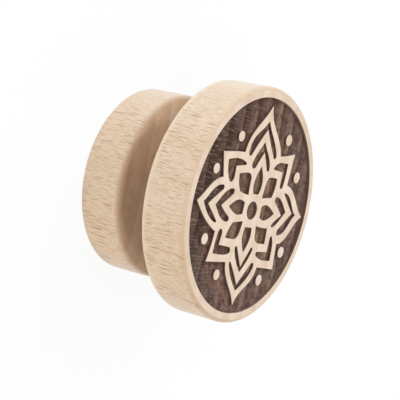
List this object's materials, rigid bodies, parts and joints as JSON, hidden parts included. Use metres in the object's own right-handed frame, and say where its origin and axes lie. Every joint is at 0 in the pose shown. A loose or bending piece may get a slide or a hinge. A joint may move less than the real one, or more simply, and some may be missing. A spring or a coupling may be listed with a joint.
{
  "type": "cookie stamp",
  "caption": "Turned beech cookie stamp: round head with an engraved lotus rosette on its face, finger groove and smaller round grip behind it; pressed into dough by hand.",
  "frame": {"origin": "centre of the grip's flat back, on the surface that the stamp stands on", "axes": "+Z along the turning axis, from the grip to the engraved face; +Y towards the rosette's top petal"},
  "size_m": [0.06, 0.06, 0.0356],
  "materials": {
    "beech": "fine sanded, unvarnished, pale",
    "burnt_beech": "burnt brown, matt"
  },
  "bodies": {
    "root": {"stamp_head": "beech", "engraved_ground": "burnt_beech", "neck_spindle": "beech", "grip": "beech"}
  },
  "joints": []
}
